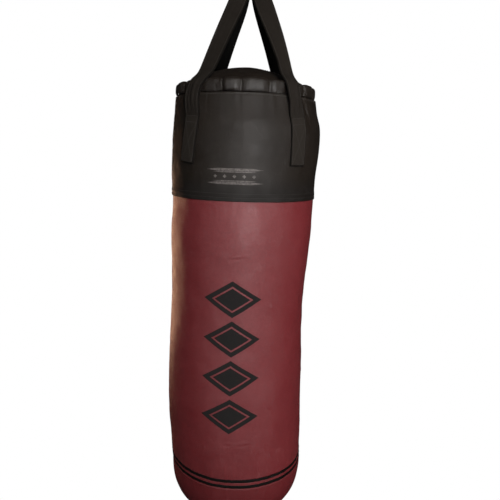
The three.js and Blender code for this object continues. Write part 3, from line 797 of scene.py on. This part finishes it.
# ---- lid and zip
def dome_height(x, y):
    """The lid's surface: a dome that is drawn down a little between its rim and its zip."""
    spread = np.sqrt(x ** 2 + y ** 2)
    plain = LID_CENTRE + np.sqrt(LID_SPHERE ** 2 - spread ** 2)
    turn = np.arctan2(y, x)
    folds = 0.0011 * np.sin(14 * turn + 1.3 * np.sin(3 * turn)) * (spread / LID_RIM_R) ** 3
    slack = -0.0016 * np.sin(np.clip(spread / LID_RIM_R, 0, 1) * pi) ** 2
    return plain + (folds + slack) * np.clip((np.abs(y) - ZIP_SLOT) / 0.02, 0, 1)


def make_lid_half(title, face):
    """Half of the lid: it has a folded edge beside the zip, and meets the other half past the zip's ends."""
    columns, rows = 160, 34
    gap = 0.0003  # left between the halves where they meet
    along = np.linspace(-1, 1, columns) * acos(0.003 / LID_RIM_R)
    x_rim, y_rim = LID_RIM_R * np.sin(along), LID_RIM_R * np.cos(along)
    past_zip = np.clip((np.abs(x_rim) - LID_SPHERE * sin(ZIP_ANGLE)) / 0.008, 0, 1)
    near = ZIP_SLOT + (gap - ZIP_SLOT) * past_zip ** 2 * (3 - 2 * past_zip)
    inward = np.linspace(0, 1, rows)[:, None] * (y_rim - near)
    y = near + inward
    x = x_rim + 0 * y
    outer = dome_height(x, y * face)
    inner = outer - LEATHER
    outer = outer - 0.0012 * (1 - np.clip(inward / 0.004, 0, 1)) ** 2
    outer = outer - 0.0005 * bump_at(inward, 0.0085, 0.0012)
    outer = outer + 0.0008 * noise_at(np.stack([x, y, outer], -1), 0.05)
    skins = [np.stack([x, y * face, z], -1) for z in (outer, inner)]
    rings = np.concatenate([skins[0], skins[1][::-1]]).swapaxes(0, 1)
    dress(tube(f"lid_{title}_leather", rings), "lid", nodes=[f"lid_{title}"])


def lid_arc(turn, y, out=0.0):
    """A point above the zip's arc: an angle along it, a distance to its side and a height over the dome."""
    radius = LID_SPHERE + out
    return np.stack([radius * np.sin(turn), 0 * turn + y, LID_CENTRE + radius * np.cos(turn)], -1)


TAPE_SECTION = [  # distance from the zip's middle, height over the dome
    (0.0022, -0.0046), (0.0022, -0.0036), (0.0045, -0.0032), (0.0150, -0.0034), (0.0155, -0.0040),
    (0.0150, -0.0046),
]
TOOTH_PITCH = 0.0031
TOOTH_SECTIONS = ((-0.0004, 0.0004), (0.0003, 0.00062), (0.0019, 0.00058), (0.0024, 0.0004))  # at, half width
TOOTH_LOW, TOOTH_HIGH = -0.0036, -0.0014
TOOTH_CORNERS = ((-1, TOOTH_LOW), (1, TOOTH_LOW), (1, TOOTH_HIGH), (-1, TOOTH_HIGH))


def make_zip():
    turn = np.linspace(-ZIP_ANGLE, ZIP_ANGLE, 90)
    for title, face in (("front", -1), ("rear", 1)):
        rings = [[lid_arc(t, face * y, out) for y, out in TAPE_SECTION] for t in turn]
        dress(tube(f"zip_tape_{title}_cloth", rings), "tape", nodes=[f"zip_tape_{title}"])
        verts, faces = [], []
        for i in range(int(2 * ZIP_ANGLE * LID_SPHERE / TOOTH_PITCH)):
            middle = -ZIP_ANGLE + (i + 0.5 + 0.25 * face) * TOOTH_PITCH / LID_SPHERE
            faces += tube_faces(len(TOOTH_SECTIONS), len(TOOTH_CORNERS), len(verts))
            for y, half in TOOTH_SECTIONS:
                verts += [lid_arc(np.float64(middle + d * half / LID_SPHERE), face * y, out)
                          for d, out in TOOTH_CORNERS]
        teeth = build(f"zip_teeth_{title}_metal", verts, faces, smooth=False)
        dress(teeth, "dark_steel", nodes=[f"zip_teeth_{title}"])
    runs = []
    x = LID_SPHERE * np.sin(np.linspace(-ZIP_ANGLE * 0.98, ZIP_ANGLE * 0.98, 120))
    for face in (-1, 1):
        for offset in (0.0022, 0.0075):
            y = np.full_like(x, face * (ZIP_SLOT + offset))
            points = np.stack([x, y, dome_height(x, y) + 0.0001], -1)
            runs.append(list(zip(points, unit(points - np.array([0, 0, LID_CENTRE])))))
    stitches("zip_stitching", runs)


# ---- straps
SEWN_POINTS = 22  # rows of mesh points along a sewn end
FREE_STEPS = 25
BAR_STEPS = 13
STITCH_INSET = 0.0038  # from a strap's edge to its stitches
STITCH_LEVEL = 0.985  # share of the strap's thickness
# How the straps cross the rim: height, radius
RIM_PATH = [(0.250, 0.1788), (0.260, 0.1776), (0.2675, 0.1740), (0.2735, 0.1672), (0.278, 0.1560)]


def strap_azimuth(side, face, height):
    spread = side * -face * np.radians(np.interp(height, *zip(*STRAP_SPREAD[side, face])))
    return spread + STRAP_TURN + (pi if face > 0 else 0.0)


def strap_leg(side, face):
    """Points, widthwise and outward directions and roundness of one leg, from its sewn end to the bar."""
    sewn = np.concatenate([np.linspace(STRAP_LOW, STRAP_SEWN_TOP, SEWN_POINTS), np.linspace(0.199, 0.238, 8)])
    lift = np.interp(sewn, [STRAP_SEWN_TOP - 0.004, 0.212, 0.238], [0.0004, 0.0040, 0.0066])
    points = list(on_band(strap_azimuth(side, face, sewn), sewn, lift))
    for height, radius in RIM_PATH:
        centre = np.array([float(side_shift(SEAM_TOP)), 0, HEM + height])
        points.append(unit_round(strap_azimuth(side, face, height)) * radius + centre)
    start = points[-1]
    end = np.array([STRAP_SHIFT + side * STRAP_X, face * STRAP_LOOP * cos(STRAP_TOUCH),
                    BAR_Z + STRAP_LOOP * sin(STRAP_TOUCH)])
    for t in np.linspace(0, 1, FREE_STEPS + 1)[1:-1]:
        swing = t + STRAP_EASE[side, face] * t ** 6 * (1 - t)
        points.append(start + (end - start) * (swing, t, t))
    points = np.array(points)
    heights = points[:, 2] - HEM
    twist = np.interp(heights, [0.262, 0.310, 0.370, 0.480], [0, 1, 1, 0])
    twist *= radians(STRAP_TWIST[side, face])
    points[:, 0] += side * 0.35 * STRAP_WIDTH * twist
    azimuth = strap_azimuth(side, face, heights) + side * -face * twist
    flat = -face * np.stack([np.cos(azimuth), np.sin(azimuth), 0 * azimuth], -1)
    free = np.clip((np.arange(len(points)) - len(points) + FREE_STEPS) / FREE_STEPS, 0, 1)[:, None]
    flat = flat * (1 - free) + np.array([1.0, 0, 0]) * free
    out = unit_round(azimuth) * (1 - free) + np.array([0, face, 0]) * free
    roundness = np.interp(heights, [0.225, 0.275], [1.0, 0.0])
    return smooth_line(points, SEWN_POINTS), flat, out, roundness


def smooth_line(points, fixed, rounds=3):
    """Eases the corners of a line, leaving its first fixed points alone."""
    points = points.copy()
    for _ in range(rounds):
        points[fixed:-1] = 0.5 * points[fixed:-1] + 0.25 * (points[fixed - 1:-2] + points[fixed + 1:])
    return points


def strap_section(count=21):
    """Points round a strap's flat section: across from -1 to 1, thickness from 0 inside to 1 outside."""
    span = np.linspace(-0.93, 0.93, count)
    edge = [(0.975, 0.06), (1.0, 0.30), (1.0, 0.48), (1.0, 0.52), (1.0, 0.70), (0.975, 0.94)]
    return [(a, 0.0) for a in span] + edge + [(a, 1.0) for a in span[::-1]] + [(-a, 1 - n) for a, n in edge]


def gathered(side, face, height):
    """Share of a strap's width that is taken up in lengthwise folds."""
    return STRAP_GATHER[side, face] * np.interp(height, [0.199, 0.226, 0.255, 0.300], [0, 1, 1, 0])


def strap_folds(side, face, height, across):
    """How far the webbing buckles away from its flat shape where it bends over the collar."""
    where = bump_at(height, 0.224, 0.020) + 0.5 * bump_at(height, 0.262, 0.012)
    lean = across + side * face * (height - 0.22) * 4
    pleats = 0.030 * gathered(side, face, height) * (1 + np.sin(5.2 * lean + 0.5))
    return pleats + 0.0010 * where * np.sin(11 * lean) + 0.0008 * where


def strap_offset(side, face, height, a, n, bend):
    """Where a point of a strap's section is: sideways and outwards from the middle of its inner face."""
    lost = gathered(side, face, height)
    sideways = (a * (1 - lost) + side * lost) * STRAP_WIDTH / 2
    sag = bend * sideways ** 2 / (2 * STRAP_BEND)
    return sideways, STRAP_THICK * n + strap_folds(side, face, height, a) - sag


def strap_path(side):
    """One strap from its front end, over the bar, to its rear end."""
    front, rear = (strap_leg(side, face) for face in (-1, 1))
    angles = np.linspace(pi - STRAP_TOUCH, STRAP_TOUCH, BAR_STEPS)
    out = np.stack([0 * angles, np.cos(angles), np.sin(angles)], -1)
    points = np.array([STRAP_SHIFT + side * STRAP_X, 0, BAR_Z]) + STRAP_LOOP * out
    over_bar = (points, np.tile([1.0, 0, 0], (BAR_STEPS, 1)), out, np.zeros(BAR_STEPS))
    return [np.concatenate([a, b, c[::-1]]) for a, b, c in zip(front, over_bar, rear)]


def frames_along(points, flat, out):
    """Across and outward directions at each point; near the bar the webbing is sheared to lie along it."""
    along = unit(np.gradient(points, axis=0))
    square = np.clip((BAR_Z - 0.004 - points[:, 2]) / 0.045, 0, 1)[:, None]
    across = unit(flat - square * along * (flat * along).sum(1)[:, None])
    normal = unit(np.cross(along, across))
    return across, normal * np.sign((normal * out).sum(1))[:, None]


def make_strap(node, side):
    points, flat, out, roundness = strap_path(side)
    across, normal = frames_along(points, flat, out)
    reach = reach_along(points)
    rings, weave = [], []
    for i, point in enumerate(points):
        taper = 0.80 if i in (0, len(points) - 1) else 1.0
        face = -1 if i < len(points) / 2 else 1
        ring = []
        for a, n in strap_section():
            level = 0.5 + (n - 0.5) * taper
            sideways, rise = strap_offset(side, face, point[2] - HEM, a, level, roundness[i])
            ring.append(point + across[i] * sideways + normal[i] * rise)
            weave.append((a * STRAP_WIDTH / 2, min(reach[i], reach[-1] - reach[i]), 1.0 if n > 0.2 else 0.0))
        rings.append(ring)
    name = f"{node}_webbing"
    dress(tube(name, rings, {"weave": weave}), "webbing", nodes=[node])

    def on_strap(distance, a):
        """A point on the strap's outer face, and the direction out of it."""
        centre, beside, up = (read_at(distance, reach, rows) for rows in (points, across, normal))
        bend = np.interp(distance, reach, roundness)
        face = -1 if distance < reach[-1] / 2 else 1
        sideways, rise = strap_offset(side, face, centre[2] - HEM, a, STITCH_LEVEL, bend)
        return centre + beside * sideways + up * rise, up

    sewn = STRAP_SEWN_TOP - STRAP_LOW
    edge = 1 - STITCH_INSET / (STRAP_WIDTH / 2)
    low, high, bar = 0.004, sewn - 0.004, sewn - 0.018
    box = [(low, -edge), (low, edge), (high, edge), (high, -edge), (low, -edge)]
    lines = [box, [(bar, -edge), (bar, edge)], [(low, -edge), (bar, edge)], [(low, edge), (bar, -edge)]]
    runs = []
    for flip in (False, True):
        for line in lines:
            run = []
            for (d0, a0), (d1, a1) in zip(line, line[1:]):
                for t in np.linspace(0, 1, 12):
                    distance = d0 + (d1 - d0) * t
                    run.append(on_strap(reach[-1] - distance if flip else distance, a0 + (a1 - a0) * t))
            runs.append(run)
    for a in (-edge, edge):
        runs.append([on_strap(d, a) for d in np.linspace(sewn + 0.002, reach[-1] - sewn - 0.002, 160)])
    stitches(f"{name}_stitching", runs, slot="black_webbing", length=0.0036, thick=0.0005)


# ---- hardware
RING_HALF = 0.056  # from the ring's middle to the centre of a corner's bend
RING_BEND = 0.012


def bar_along(points, radius, normal, sides=20):
    """Rings of a round bar along a closed line in a plane."""
    way = unit(np.roll(points, -1, 0) - np.roll(points, 1, 0))
    side = np.cross(way, normal)
    turn = azimuths(sides)
    return points[:, None] + radius * (np.cos(turn)[:, None] * normal + np.sin(turn)[:, None] * side[:, None])


def bend_points(x, z, start, end, count):
    """An arc in the ring's plane; angles are counted from +X towards +Z."""
    turn = np.linspace(start, end, count)
    return np.stack([x + RING_BEND * np.cos(turn), 0 * turn, z + RING_BEND * np.sin(turn)], -1)


def make_ring():
    """A triangular ring: a bend over the top and one at each end of the bar."""
    high, low = RING_HIGH[2] - RING_WIRE - RING_BEND, BAR_Z + RING_BEND
    lean = atan2(RING_HALF, high - low)
    bends = [bend_points(0, high, pi - lean, lean, 18),
             bend_points(RING_HALF, low, lean, -pi / 2, 20),
             bend_points(-RING_HALF, low, -pi / 2, -pi - lean, 20)]
    rings = bar_along(np.concatenate(bends), RING_WIRE, (0, 1, 0))
    dress(loop("hanger_ring_bar", rings), "steel", "ring", ["hanger_ring"])


def forge(node, material, body, voxel, rounds):
    """A metal part with the CAD part's shape: its facets are smoothed away and its edges are rounded."""
    piece = link(f"{node}_metal", frame["nodes"][node].data.copy())
    remesh = piece.modifiers.new("remesh", "REMESH")
    remesh.mode = "VOXEL"
    remesh.voxel_size = voxel
    remesh.use_smooth_shade = True
    smooth = piece.modifiers.new("smooth", "SMOOTH")
    smooth.factor = 0.5
    smooth.iterations = rounds
    depsgraph = bpy.context.evaluated_depsgraph_get()
    mesh = bpy.data.meshes.new_from_object(piece.evaluated_get(depsgraph))
    piece.modifiers.clear()
    piece.data = mesh
    dress(piece, material, body, [node])


HIDDEN = {  # CAD pieces that lie inside others or are very small, and stay as they are
    "steel": ["swivel_nut"],
    "dark_steel": ["thrust_race_lower", "thrust_race_upper", "ball_cage", "gate_spring"],
    "foam": ["top_pad"],
}


def make_hardware():
    bodies = {"swivel_top_eye": "swivel_top", "swivel_housing": "swivel_top", "swivel_eye_bolt": "swivel_bow",
              "hook_body": "snap_hook", "hook_gate": "gate"}
    for node, body in bodies.items():
        forge(node, "steel", body, 0.0006, 16)
    forge("gate_rivet", "dark_steel", "snap_hook", 0.0003, 6)
    bodies = {"zip_slider": "slider", "zip_tab": "tab", "zip_stop_closed": "bag", "zip_stop_open": "bag"}
    for node, body in bodies.items():
        forge(node, "dark_steel", body, 0.0003, 4)
    for material, nodes in HIDDEN.items():
        for node in nodes:
            coat(frame["nodes"][node], material)


# ---- stage
FLOOR_HALF = 30
DOME_RADIUS = 25


def make_stage():
    """A glowing white floor and backdrop, which neither light the bag nor show in its highlights."""
    white = bpy.data.materials.new("pale_floor")
    white.use_nodes = True
    nodes = white.node_tree.nodes
    nodes.remove(nodes["Principled BSDF"])
    glow = nodes.new("ShaderNodeEmission")
    glow.inputs["Strength"].default_value = 1.0
    white.node_tree.links.new(glow.outputs[0], nodes["Material Output"].inputs[0])
    floor_z = HEM + BASE - 0.45
    corners = [(x * FLOOR_HALF, y * FLOOR_HALF, floor_z) for x, y in ((-1, -1), (1, -1), (1, 1), (-1, 1))]
    dome = [DOME_RADIUS * (cos(up) * unit_round(azimuths(48)) + np.array([0, 0, sin(up)]))
            for up in np.linspace(-1.5, 1.5, 20)]
    for piece in (build("floor", corners, [(0, 1, 2, 3)]), tube("backdrop", dome)):
        piece.data.materials.append(white)
        piece.visible_diffuse = piece.visible_glossy = piece.visible_shadow = False
        piece.visible_transmission = False


WARM = (1.0, 0.55, 0.33)


def softbox(name, degrees, distance, height, aim, size, power, colour=(1, 1, 1), glossy=False, diffuse=True):
    """A lamp at an azimuth (0 in front, 90 to the right) and a distance; heights are above the hem."""
    turn = radians(degrees)
    place = Vector((distance * sin(turn), -distance * cos(turn), HEM + height))
    data = bpy.data.lights.new(name, "AREA")
    data.shape = "RECTANGLE"
    data.size, data.size_y = size
    data.energy = power
    data.color = colour
    lamp = link(name, data)
    lamp.location = place
    lamp.rotation_euler = (Vector((0, 0, HEM + aim)) - place).to_track_quat("-Z", "Y").to_euler()
    lamp.visible_glossy = glossy
    lamp.visible_diffuse = diffuse
    return lamp


def make_lights():
    """A tall softbox makes the highlight; soft lights that aren't mirrored in the leather do the rest."""
    softbox("softbox", 14, 1.6, 0.12, 0.12, (0.42, 1.20), 32, glossy=True, diffuse=False)
    softbox("softbox_low", 14, 1.6, -0.75, -0.4, (0.5, 0.5), 0.5, glossy=True, diffuse=False)
    softbox("front_high", 20, 2.1, 0.85, -0.2, (0.9, 0.9), 50)
    softbox("fill_right", 72, 2.6, -0.5, -0.4, (1.6, 1.8), 20)
    softbox("fill_left", -75, 3.0, 0.3, -0.2, (2.0, 2.0), 12)
    softbox("fill_back", 180, 3.0, 0.3, -0.2, (2.2, 2.2), 45)
    softbox("back_softbox", 200, 1.9, -0.2, -0.2, (0.5, 0.9), 9, glossy=True)
    world = bpy.data.worlds.new("studio")
    bpy.context.scene.world = world
    world.use_nodes = True
    world.node_tree.nodes["Background"].inputs["Color"].default_value = (0.024, 0.023, 0.022, 1)


def light_only(name, starts):
    """A collection of the pieces that a lamp may light: those whose names start in one of these ways."""
    group = bpy.data.collections.new(name)
    for piece in bpy.data.objects:
        if piece.name.startswith(starts):
            group.objects.link(piece)
    return group


METAL_AIM = -0.14 - HEM
METAL_LIGHTS = [("left", -55, 0.75), ("right", 70, 0.60), ("back", 160, 0.70), ("back_left", 235, 0.6)]
WARM_LIGHTS = [  # name, azimuth, height, tall, power, pieces
    ("red", -131, -0.38, 1.0, 8.8, ("cover_leather", "base_strip_leather", "base_leather")),
    ("band", -138, -0.42, 0.5, 8.5, ("band_leather", "hem_stitching")),
]


def make_linked_lights():
    """Small softboxes mirrored in the hanging gear only, and warm lamps for the bag's left edge."""
    metal = light_only("metal", ("swivel", "hook", "gate", "hanger"))
    for name, degrees, height in METAL_LIGHTS:
        lamp = softbox(f"metal_{name}", degrees, 0.9, height, METAL_AIM, (0.30, 0.75), 1.3, glossy=True)
        lamp.light_linking.receiver_collection = metal
    for name, degrees, height, tall, power, pieces in WARM_LIGHTS:
        lamp = softbox(f"warm_edge_{name}", degrees, 1.5, height, -0.3, (0.4, tall), power, WARM, glossy=True)
        lamp.light_linking.receiver_collection = light_only(name, pieces)


def make_camera():
    """Bag front seen from 3 degrees to its right, 10 degrees downwards, with a slight roll."""
    azimuth, pitch, roll = radians(3.0), 0.1788, 0.032
    distance, sideways, above_hem = 1.345, 0.0245, 0.1005
    data = bpy.data.cameras.new("camera")
    data.lens = 37.0
    data.sensor_width = 36.0
    camera = link("camera", data)
    turn = Matrix.Rotation(azimuth, 4, "Z")
    place = Matrix.Translation((0, 0, HEM + above_hem)) @ turn @ Matrix.Translation((sideways, -distance, 0))
    tilt = Matrix.Rotation(pi / 2 - pitch, 4, "X") @ Matrix.Rotation(roll, 4, "Z")
    camera.matrix_world = place @ tilt
    bpy.context.scene.camera = camera


# ---- the scene
make_camera()
make_stage()
make_lights()
make_cover()
make_base()
make_inside()
make_piping("piping_upper", PIPING_UPPER)
make_piping("piping_lower", PIPING_LOWER)
make_band()
make_back_seam()
make_collar()
make_lid_half("front", -1)
make_lid_half("rear", 1)
make_zip()
make_strap("strap_left", -1)
make_strap("strap_right", 1)
make_ring()
make_hardware()
make_linked_lights()

view = bpy.context.scene.view_settings
view.view_transform = "Standard"
view.look = "None"
